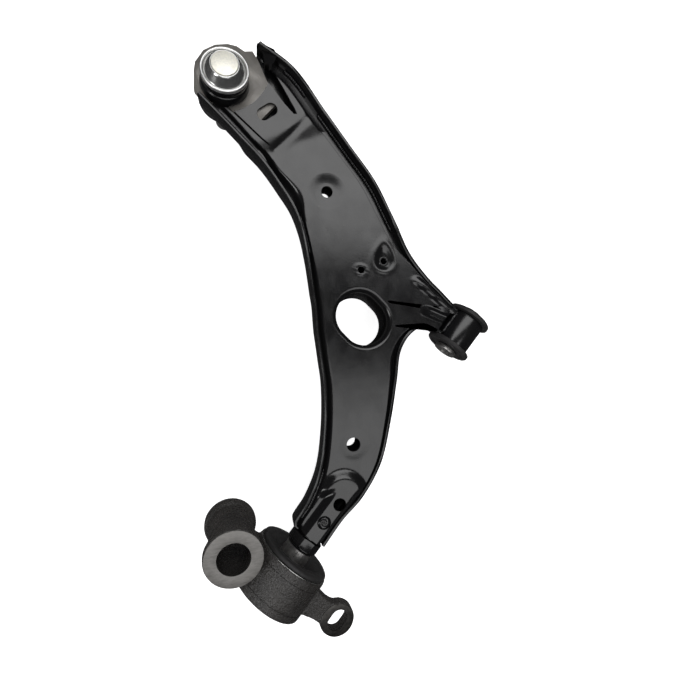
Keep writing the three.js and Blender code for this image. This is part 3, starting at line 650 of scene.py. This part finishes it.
def folded_tab():
    """The end of the right wall, folded in beside the plate, with a sloping top."""
    points, faces = prism([
        (-71.6, 263.2), (-66, 262.4), (-60.2, 258.6), (-57.2, 253.4), (-60.3, 246.4), (-64.5, 245.6),
        (-68.2, 247.3),
    ], WALL_TOP_FRONT - 12, WALL_TOP_FRONT - 3)
    points[:, 2] += 0.42 * (points[:, 0] + 64)
    return points, faces


def across(start, end, x, y):
    """Distance from a line between two points, and the share of the way along it."""
    a, b = np.array(start, float), np.array(end, float)
    along = b - a
    share = ((x - a[0]) * along[0] + (y - a[1]) * along[1]) / np.dot(along, along)
    held = np.clip(share, 0, 1)
    return np.hypot(x - a[0] - held * along[0], y - a[1] - held * along[1]), share


def relief(x, y):
    """The pressed details of the panel: the pocket, the branch's rib and hollow, the tongue's crease, a lip."""
    dx, dy = x - POCKET[0], y - POCKET[1]
    above = (np.abs(dx) / 8.2) ** 1.5 + (np.abs(dy) / 15) ** 1.5
    reach = np.where(dy > 0, 8.2 * above ** (1 / 1.5), np.hypot(dx, dy))
    pocket = -1.9 * (1 - smooth((reach - 4) / 5)) + 0.5 * bump_at(reach, 10.4, 1.8)
    away, share = across((74, 57), (113, 25), x, y)
    rib = 2.6 * (1 - smooth((away - 1.2) / 3.4)) * smooth((share + 0.15) / 0.3)
    away, share = across((82, 29), (112, 17), x, y)
    hollow = -2.6 * (1 - smooth((away - 2.4) / 3.2)) * smooth((share + 0.1) / 0.3)
    away, share = across((-59, 171), (-30, 203), x, y)
    crease = 0.9 * bump_at(away, 0, 3.4)
    away, _ = across(SMALL_HOLE, (SMALL_HOLE[0] + 0.01, SMALL_HOLE[1]), x, y)
    lip = 0.5 * bump_at(away, 4.6, 1.1)
    return pocket + rib + hollow + crease + lip


def panel_skin():
    inset = SHEET + GAP
    left = edge("left", STATIONS, inset)
    right = edge("right", STATIONS, inset, 6.2)
    width = np.linalg.norm(right - left, axis=1)
    s = STATIONS
    left_ledge = 5 * (1 - smooth((s - 2.6) / 1))
    left_roll = 3 + 10 * bump_at(s, 4.3, 0.9) + 1.5 * smooth((s - 6) / 3)
    right_ledge = 7.5 * (1 - smooth((s - 5.6) / 0.8))
    right_roll = 3.5 + 3 * bump_at(s, 14, 1.5)
    inner = width - left_ledge - left_roll - right_ledge - right_roll
    steps = [left_ledge * i / 2 for i in range(2)]
    steps += [left_ledge + left_roll * i / 8 for i in range(9)]
    steps += [left_ledge + left_roll + inner * i / 44 for i in range(1, 44)]
    steps += [width - right_ledge - right_roll * (8 - i) / 8 for i in range(9)]
    steps += [width - right_ledge * (1 - i / 2) for i in range(1, 3)]
    across_steps = np.array(steps)
    for i in range(1, len(across_steps)):
        across_steps[i] = np.maximum(across_steps[i], across_steps[i - 1] + 0.2)
    across_steps *= width / across_steps[-1]
    share = (across_steps / width).T
    x = left[:, :1] + (right - left)[:, :1] * share
    y = left[:, 1:] + (right - left)[:, 1:] * share
    from_left = across_steps.T
    from_right = width[:, None] - from_left
    on_left = 1 - smooth((from_left - left_ledge[:, None]) / left_roll[:, None])
    on_right = 1 - smooth((from_right - right_ledge[:, None]) / right_roll[:, None])
    side = np.maximum(on_left, on_right)
    flat = TONGUE_Z * smooth((y - 0.45 * x - 188) / 30)
    from_shank = np.abs((x - PIVOT_POINT[0]) * PIVOT_SIDE[0] + (y - PIVOT_POINT[1]) * PIVOT_SIDE[1])
    forward = PIVOT_AXIS[:2] * np.sign(PIVOT_AXIS[1])
    ahead = np.maximum((x - 2) * forward[0] + (y + 141) * forward[1], 0)
    flat += HUMP_Z * smooth((24 - np.hypot(from_shank, ahead)) / 10) * (y < -100)
    flat -= 5.5 * smooth((from_shank - 6) / 7) * smooth((-134 - y) / 12)
    z = (flat + relief(x, y) * (1 - side)) * (1 - side) + LEDGE_Z * side
    rows, columns = x.shape
    top = np.stack([x, y, z], axis=-1).reshape(-1, 3)
    bottom = top - np.array([0, 0, SHEET])
    count = rows * columns
    faces = []
    for r in range(rows - 1):
        for c in range(columns - 1):
            a = r * columns + c
            b, d, e = a + 1, a + columns, a + columns + 1
            faces.append((a, d, e, b))
            faces.append((a + count, b + count, e + count, d + count))
        for c, flip in ((0, False), (columns - 1, True)):
            a = r * columns + c
            ring = (a, a + count, a + columns + count, a + columns)
            faces.append(tuple(reversed(ring)) if flip else ring)
    for r, flip in ((0, False), (rows - 1, True)):
        for c in range(columns - 1):
            a = r * columns + c
            ring = (a, a + count, a + 1 + count, a + 1)
            faces.append(ring if flip else tuple(reversed(ring)))
    return outward((np.vstack([top, bottom]), faces))


def dish(centre, radius, depth, hole):
    """A round dish pressed into the panel."""
    flat = hole + 2.5
    upper = [(hole, -depth), (flat, -depth)]
    for t in (0.06, 0.14, 0.3, 0.5, 0.7, 0.86, 0.94, 0.98):
        ease = t - 0.042 * math.sin(2 * math.pi * t)
        upper.append((flat + (radius - flat) * t, -depth * (1 - ease)))
    upper += [(radius, 0.0)]
    lower = [(r, z - SHEET) for r, z in reversed(upper)]
    return moved(turned(upper + lower, 96, radius=0), *centre)


def big_hole_flange():
    """The rolled rim of the big hole and the short wall below it."""
    wall = BIG_HOLE_RADIUS + SHEET
    steps = [(wall + RIM_ROLL, 0.0), (wall + RIM_ROLL - 1, 0.0)]
    for i in range(7):
        turn = math.pi / 2 * i / 6
        steps.append((wall + RIM_ROLL - 1.8 - 4.8 * math.sin(turn), -4.8 * (1 - math.cos(turn))))
    steps += [(BIG_HOLE_RADIUS, -9), (wall, -9), (wall, -5), (wall + RIM_ROLL, -SHEET)]
    rings = []
    for radius, z in steps:
        flat = obround(RIM_CENTRE, radius, BIG_HOLE_STRETCH)
        rings.append(np.column_stack([flat, np.full(len(flat), z)]))
    return loft(rings, around=True)


def upper_panel():
    body = raw("upper_panel_sheet", panel_skin())
    zone = raw("zone", prism([
        (-105, 211), (-64, 175), (-40, 200), (-67.5, 254), (-50, 266), (-60, 300), (-170, 300), (-135, 207),
    ], *THROUGH))
    combine(zone, [prism(circle((-109, 248), 46.5, 128), -61, 61)], "INTERSECT")
    combine_with(body, [zone])
    combine(body, [
        prism([(-140, 207), (-105, 211), (-67.5, 254), (-45, 268), (-60, 320), (-180, 300)], *THROUGH),
        prism([(-105.6, 210.6), (-64.6, 174.6), (-63.4, 175.8), (-104.4, 212)], *THROUGH),
        prism([
            (-72, 258), (-67.5, 254), (-59, 241), (-51, 228), (-41, 211), (-39, 206.4), (-42, 206),
            (-50, 214), (-65, 232), (-74, 240),
        ], *THROUGH),
        prism(obround((-66, 206), 6, 8, math.atan2(END_ACROSS[1], END_ACROSS[0])), *THROUGH),
        prism(circle(FRONT_DIMPLE, FRONT_DIMPLE_RADIUS, 96), *THROUGH),
        prism(circle(REAR_DIMPLE, REAR_DIMPLE_RADIUS, 96), *THROUGH),
        prism(obround(RIM_CENTRE, BIG_HOLE_RADIUS + SHEET + RIM_ROLL, BIG_HOLE_STRETCH), *THROUGH),
        prism(circle(SMALL_HOLE, 3.2, 32), *THROUGH), prism(circle((-1, -150), 6, 48), *THROUGH),
        prism(circle(POCKET, 2.8, 32), *THROUGH),
    ])
    at = PIVOT_POINT + PIVOT_AXIS * PLUG_ALONG
    combine(body, [
        prism(circle(at[:2], 6.3, 48), 0.8, 20), placed(rod(HOUSING_ROOM, -20, 60), ON_JOINT), shank_room(),
    ])
    pocket_rim = [(2.7, -3.6), (5, -3.4), (4.9, -1.3), (4.2, -0.8), (3.2, -0.8), (2.7, -1.2)]
    for shape in (
        dish(FRONT_DIMPLE, FRONT_DIMPLE_RADIUS, 1.2, FRONT_DIMPLE_HOLE),
        dish(REAR_DIMPLE, REAR_DIMPLE_RADIUS, 0.6, REAR_DIMPLE_HOLE),
        big_hole_flange(), moved(turned(pocket_rim, 48, radius=0.2), *POCKET),
    ):
        attach(body, shape)
    finished(body, PAINT, "arm", ["upper_panel"])


def plug_weld():
    """A round weld over the shank, poured in a spiral."""
    at = PIVOT_POINT + PIVOT_AXIS * PLUG_ALONG
    turns = [2 * math.pi * i / 48 for i in range(48)]
    radii = np.linspace(0, 5.9, 15)
    top = []
    for r in radii[1:]:
        for turn in turns:
            grain = noise.noise(Vector((r * 0.6, math.cos(turn) * 2, math.sin(turn) * 2)))
            swirl = 0.28 * math.sin(turn - r * 1.5) + 0.2 * grain
            height = 4.75 - 1.3 * smooth((r - 4.6) / 1.6) + swirl * (r < 5.6)
            top.append((r * math.cos(turn), r * math.sin(turn), height))
    points = [(0, 0, 4.7), *top]
    points += [(5.9 * math.cos(turn), 5.9 * math.sin(turn), 1.1) for turn in turns]
    faces = [(0, 1 + i, 1 + (i + 1) % 48) for i in range(48)]
    for ring in range(14):
        low = 1 + ring * 48
        faces += [(low + i, low + 48 + i, low + 48 + (i + 1) % 48, low + (i + 1) % 48) for i in range(48)]
    faces.append(tuple(reversed(range(1 + 14 * 48, 1 + 15 * 48))))
    shape = moved(outward((np.array(points), faces)), at[0], at[1])
    finished(raw("plug_weld_spiral", shape), WELD, "arm", ["shank_plug_weld"])


def seam_path(side, first, last):
    """Even steps along the panel's ledge, between two stations of the plan."""
    stations = np.linspace(first, last, 240)
    flat = edge(side, stations, SHEET + GAP + 1.35)
    lengths = np.concatenate([[0], np.cumsum(np.linalg.norm(np.diff(flat, axis=0), axis=1))])
    even = np.arange(0, lengths[-1], BEAD_STEP)
    x, y = (np.interp(even, lengths, flat[:, i]) for i in (0, 1))
    return np.column_stack([x, y, np.full(len(even), LEDGE_Z + 1.6)])


def seam_welds():
    for side, node, runs in (
        ("left", "left_seam_weld", ((0.75, 2.5), (5.3, 6.9), (16.9, 18.7))),
        ("right", "right_seam_weld", ((0.75, 1.5), (1.9, 5.3))),
    ):
        shapes = [bead(seam_path(side, *run), 1.35, 1.5, 3.1 + i) for i, run in enumerate(runs)]
        finished(raw(node + "_bead", joined(*shapes)), WELD, "arm", [node], angle=50)


def eye_weld():
    """Beads on the tube where the branch's panel and walls meet it."""
    paths = []
    for turn in (math.radians(32), math.radians(-38)):
        reach = EYE_ROOM + 1.3
        along = np.arange(-9.5, 16.5, BEAD_STEP)
        wander = 0.35 * np.sin(along * 0.8)
        local = np.column_stack([
            reach * math.cos(turn) + wander * 0.3, reach * math.sin(turn) + wander, along,
        ])
        rows, point = ON_PIVOT
        paths.append(local @ rows + point)
    shapes = [bead(path, 1.7, 1.5, 9.3 + i) for i, path in enumerate(paths)]
    finished(raw("eye_weld_bead", joined(*shapes)), WELD, "arm", ["eye_weld"], angle=50)


# ---------------------------------------------------------------- ball joint
def ball_joint_plate():
    outline = [
        (-121.5, 209.6), (-105, 212.6), (-79.5, 190.6), (-54, 219.5), (-66, 235), (-74, 253), (-79, 261),
        (-86, 260), (-93, 264), (-101, 265), (-112, 263), (-122, 257), (-129, 246), (-130, 239), (-130, 221),
        (-124, 214),
    ]
    top = JOINT_CENTRE[2]
    hole = placed(rod(20.8, *THROUGH), ON_JOINT)
    body = raw("ball_joint_plate_steel", prism(outline, top - 6.3, top))
    walls = []
    for side in ("left", "right"):
        inner = edge(side, np.linspace(0, 4, 60), SHEET + GAP)
        outer = edge(side, np.linspace(0, 4, 60), -GAP)
        flat = np.vstack([inner, outer[::-1]])
        walls.append(prism(flat, -40, 20))
    combine(body, [*walls, hole])
    step = body.modifiers.new("edges", "BEVEL")
    step.width = 0.45
    step.segments = 2
    step.limit_method = "ANGLE"
    step.angle_limit = math.radians(50)
    applied(body)
    finished(body, PLATE, "arm", ["ball_joint_plate"])


def ball_joint_parts():
    housing = placed(turned([
        (16.5, 15), (20.5, 15), (20.5, 9.8), (19.6, 9.2), (19.6, 8), (20.7, 7.4),
        (21.8, 1.2), (21.8, 0.4), (20.5, 0.4), (20.5, -11.5), (17.6, -12.5), (17.6, -17.4),
        (18.6, -17.8), (18.6, -19), (15.8, -19), (12.4, -10), (16.5, -9.6),
    ], 128), ON_JOINT)
    finished(raw("ball_joint_housing_turned", housing), PAINT, "arm", ["ball_joint_housing"])
    ring = placed(turned([
        (18.6, 15.1), (20.8, 15.1), (20.8, 18), (20.2, 18.8), (19.3, 18.8), (18.6, 18.2),
    ], 128), ON_JOINT)
    finished(raw("retaining_ring_turned", ring), ZINC, "arm", ["retaining_ring"])
    bevel = placed(turned([
        (11.4, 15.6), (18.5, 15.6), (18.5, 17.4), (17.4, 18.6), (13.4, 24.6), (12.4, 25.6), (11.4, 25.6),
    ], 128, radius=0.3), ON_JOINT)
    finished(raw("closing_cap_bevel", bevel), BRIGHT, "arm")
    cap = placed(turned([(0, 15.3), (11.2, 15.3), (11.2, 26.2), (0, 26.5)], 128, radius=0.5), ON_JOINT)
    finished(raw("closing_cap_turned", cap), CAP, "arm", ["closing_cap"])


def ball_stud():
    ball = []
    start = math.asin(-11.54 / 13.5)
    for i in range(25):
        turn = start + (math.pi / 2 - start) * i / 24
        ball.append((13.5 * math.cos(turn) if i < 24 else 0, 13.5 * math.sin(turn)))
    shank = [
        (0, -62), (7.5, -62), (9, -60.4), (9, -48), (7.8, -46.5), (7.8, -42.5), (9, -41), (9, -27), (7, -22),
    ]
    shape = placed(turned(shank + ball, 96, radius=0.3, steps=2), ON_JOINT)
    finished(raw("ball_stud_turned", shape), STEEL, "stud", ["ball_stud"])


def dust_boot():
    """The rubber boot, with two soft folds between its rings."""
    outer = [(19.6, -12.9), (19.6, -17.4), (21.2, -19.2), (23.4, -21.6), (24, -23.6), (23.2, -25.6), (21, -27),
             (18.9, -27.8), (18.4, -28.6), (17.4, -29.6), (14, -30.4), (10.9, -31), (10.8, -36)]
    inner = [(9.3, -36), (9.3, -29.9), (13.6, -28.9), (16.2, -28), (17.2, -27), (19.6, -25.8), (21.6, -24.6),
             (22.3, -23.6), (21.9, -22.4), (20.2, -20.6), (18.9, -19.2), (18.9, -17.5), (17.9, -17.1),
             (17.9, -12.9)]
    shape = placed(turned(outer + inner, 96, radius=0.8, steps=3), ON_JOINT)
    boot = finished(raw("dust_boot_rubber", shape), RUBBER, None)
    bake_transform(boot)
    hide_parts("dust_boot", "boot_collar")


def boot_rings():
    clamp = turned([(19.9, -16.5), (20.8, -16.5), (20.8, -13.5), (19.9, -13.5)], 96, radius=0.2)
    clamp = placed(clamp, ON_JOINT)
    finished(raw("boot_clamp_ring_steel", clamp), STEEL, "arm", ["boot_clamp_ring"])
    rings = [
        placed(turned([(11.1, z), (12.2, z), (12.2, z + 0.9), (11.1, z + 0.9)], 96, radius=0.3), ON_JOINT)
        for z in (-35, -34, -33)
    ]
    finished(raw("boot_neck_ring_steel", joined(*rings)), STEEL, "boot_neck", ["boot_neck_ring"])


# ---------------------------------------------------------------- front bushing
def front_bushing():
    tube = placed(pipe(17.5, 14.8, -12, 19.2, 0.6), ON_PIVOT)
    finished(raw("front_eye_tube_turned", tube), PAINT, "arm", ["front_eye_tube"])
    near, far, inner = -12.3, 19.5, 8.8
    profile = [
        (inner, near - 3.4), (12, near - 3.4), (12.6, near - 2.6), (16.8, near - 2.6), (17.6, near - 4.2),
        (20.6, near - 4.2), (22, near - 2.8), (22, near), (13, near), (13, far), (22, far), (22, far + 2.8),
        (20.6, far + 4.2), (17.6, far + 4.2), (16.8, far + 2.6), (12.6, far + 2.6), (12, far + 3.4),
        (inner, far + 3.4),
    ]
    finished(raw("front_bush_rubber_moulded", placed(turned(profile, 96, radius=0.7), ON_PIVOT)), RUBBER, "arm",
             ["front_bush_rubber"])
    near, far = -16.8, 24.0
    sleeve = [
        (6.2, near - 3.7), (10.6, near - 3.7), (11, near - 3.2), (11, near), (8.5, near), (8.5, far), (11, far),
        (11, far + 3.2), (10.6, far + 3.7), (6.2, far + 3.7),
    ]
    finished(raw("front_inner_sleeve_turned", placed(turned(sleeve, 96, radius=0.35), ON_PIVOT)), STEEL,
             "front_core", ["front_inner_sleeve"])


# ---------------------------------------------------------------- rear shank, bushing and bracket
def rear_shank():
    profile = [
        (0, -306), (9.4, -306), (10, -305.4), (10, -250), (12.5, -250), (15.5, -247), (15.5, -237.8),
        (11, -237.8), (11, -208), (9, -206), (0, -206),
    ]
    body = raw("rear_shank_forged", turned(profile, 96, radius=0.8))
    combine(body, [block((-20, 20), ys, (-249.5, -236)) for ys in ((14.5, 30), (-30, -14.5))])
    place_object(body, ON_PIVOT)
    finished(body, PAINT, "arm", ["rear_shank"])


def rear_rubber():
    face = -259.7
    profile = [
        (13.7, -298), (29, -298), (29, face), (35, face), (35, face + 3.2), (33, face + 4.5),
        (27.6, face + 4.5), (26, face + 3.6), (22, face + 1.2), (19, face - 1.8),
        (17, face - 4.3), (13.7, face - 5.3),
    ]
    body = raw("rear_bush_rubber_moulded", turned(profile, 128, radius=0.9))
    combine(body, [prism(circle((x, 0), 3.6, 32), face + 0.6, face + 12) for x in (36.8, -36.8)])
    place_object(body, ON_PIVOT)
    finished(body, RUBBER, "bracket", ["rear_bush_rubber"])


def voxels(obj, size, passes):
    step = obj.modifiers.new("grain", "REMESH")
    step.mode = "VOXEL"
    step.voxel_size = size
    step.use_smooth_shade = True
    step = obj.modifiers.new("fillets", "SMOOTH")
    step.factor = 0.5
    step.iterations = passes
    applied(obj)


def rear_bracket():
    half = BARREL_HALF
    barrel = placed(turned([
        (26, -half), (35.8, -half), (36.8, -half + 1), (36.8, half - 1), (35.8, half), (26, half),
    ], 128, radius=0), ALONG_Y)
    boss = moved(turned([
        (0, -33.4), (23.4, -33.4), (24, -32), (24, -26), (20.6, -22), (20.6, 22), (25.2, 26), (25.2, 33.2),
        (0, 33.2),
    ], 96, radius=0), *BOSS_AT)
    web = block((BOSS_AT[0], -22), (-14, 16), (-17, 17))
    ear = moved(rod(16.9, -5.2, 5.2), *EAR_AT)
    neck = prism([
        (24, -21), (34, -20.5), (44, -18.5), (54, -17.2), (66, -18), (75, -19.5), (75, 6.5), (66, 5), (54, 4.5),
        (44, 6.5), (37, 10.5), (30, 17), (24, 18),
    ], -5.5, 5.5)
    body = raw("rear_bracket_cast", barrel)
    pad = raw("pad", placed(turned([(30, -11), (37.6, -11), (37.6, 11), (30, 11)], 128, radius=0), ALONG_Y))
    combine(pad, [block((-60, -9), THROUGH, THROUGH), block((22, 60), THROUGH, THROUGH)])
    combine_with(body, [pad], "UNION")
    combine(body, [boss, web, neck, ear], "UNION")
    voxels(body, 0.95, 7)
    grooves = [
        placed(turned([(36.3, y), (36.3, y + 0.5), (40, y + 0.8), (40, y - 0.3)], 128, radius=0), ALONG_Y)
        for y in (12.2, -12.6)
    ]
    slot = prism(obround(EAR_AT, 8, 6, math.pi / 2), -20, 20)
    combine(body, [
        *grooves, placed(rod(31.3, -40, 40, 128), ALONG_Y), moved(rod(14, *THROUGH), *BOSS_AT), slot,
        moved(rod(40, 33.6, 50), *BOSS_AT), moved(rod(19, 5.0, 20), *EAR_AT),
    ])
    place_object(body, ON_BRACKET)
    finished(body, CASTING, "bracket", ["rear_bracket"], angle=40)
    ring = moved(turned([(14, 33.2), (24.4, 33.2), (24.4, 34), (14, 34)], 96, radius=0.3), *BOSS_AT)
    finished(raw("boss_face_machined", placed(ring, ON_BRACKET)), MACHINED, "bracket")
    disc = turned([(0, 4.9), (16.2, 4.9), (16.2, 5.5), (0, 5.5)], 96, radius=0.2)
    face = raw("ear_face_machined", moved(disc, *EAR_AT))
    combine(face, [slot])
    place_object(face, ON_BRACKET)
    finished(face, WORN, "bracket")
    # A thin ring of bright metal at the barrel's end: a painted highlight along the rim's edge.
    rim = turned([
        (34.7, half - 0.3), (36.3, half - 0.3), (36.3, half + 0.2), (34.7, half + 0.2),
    ], 128, radius=0.15)
    rim = placed(placed(rim, ALONG_Y), ON_BRACKET)
    finished(raw("barrel_rim_painted_highlight", rim), BRIGHT, "bracket")


lower_stamping()
upper_panel()
plug_weld()
seam_welds()
eye_weld()
ball_joint_plate()
ball_joint_parts()
ball_stud()
dust_boot()
boot_rings()
front_bushing()
rear_shank()
rear_rubber()
rear_bracket()

# The hidden pieces keep their CAD shapes.
for node, material in (
    ("preload_disc", STEEL), ("bearing_shell", PLASTIC), ("front_outer_sleeve", STEEL),
    ("rear_outer_sleeve", STEEL), ("rear_inner_sleeve", STEEL),
):
    kept = frame["nodes"][node]
    kept.data.materials.clear()
    kept.data.materials.append(material)

# ---------------------------------------------------------------- floor, lights and camera
FLOOR_Z = -0.0005
floor_mesh = bpy.data.meshes.new("floor")
floor_corners = [(x, y, FLOOR_Z) for x, y in ((-6, -6), (6, -6), (6, 6), (-6, 6))]
floor_mesh.from_pydata(floor_corners, [], [(0, 1, 2, 3)])
floor_mesh.materials.append(floor_surface())
floor = bpy.data.objects.new("floor", floor_mesh)
SCENE.collection.objects.link(floor)
floor.visible_glossy = False


def softbox(name, at, aim, size, power):
    light = bpy.data.lights.new(name, "AREA")
    light.shape = "RECTANGLE"
    light.size, light.size_y = size
    light.energy = power
    obj = bpy.data.objects.new(name, light)
    obj.location = at
    obj.rotation_euler = (Vector(aim) - Vector(at)).to_track_quat("-Z", "Y").to_euler()
    SCENE.collection.objects.link(obj)


softbox("front_box", (0.2, 1.06, 1.7), (0.2, 1.06, 0), (1.5, 1.25), 21)
softbox("rear_box", (0.17, -0.73, 1.7), (0.17, -0.73, 0), (1.56, 1.12), 13)
softbox("left_box", (-1.9, -0.9, 1.5), (-0.06, -0.2, 0.05), (0.7, 1.2), 16)

world = bpy.data.worlds.new("studio")
world.use_nodes = True
world.node_tree.nodes["Background"].inputs["Color"].default_value = (1, 1, 1, 1)
world.node_tree.nodes["Background"].inputs["Strength"].default_value = 0.03
SCENE.world = world
SCENE.view_settings.view_transform = "Standard"

CAMERA_AT = Vector((-86.85, 9.39, 476.76)) / 1000
CAMERA_AIM = Vector((-10.01, 9.39, 69.95)) / 1000
lens = bpy.data.cameras.new("camera")
lens.sensor_width = 36
lens.lens = 23.82353
camera = bpy.data.objects.new("camera", lens)
back = (CAMERA_AT - CAMERA_AIM).normalized()
right = Vector((0, 1, 0)).cross(back).normalized()
up = back.cross(right)
camera.matrix_world = Matrix([
    [right.x, up.x, back.x, CAMERA_AT.x], [right.y, up.y, back.y, CAMERA_AT.y],
    [right.z, up.z, back.z, CAMERA_AT.z], [0, 0, 0, 1],
])
SCENE.collection.objects.link(camera)
SCENE.camera = camera
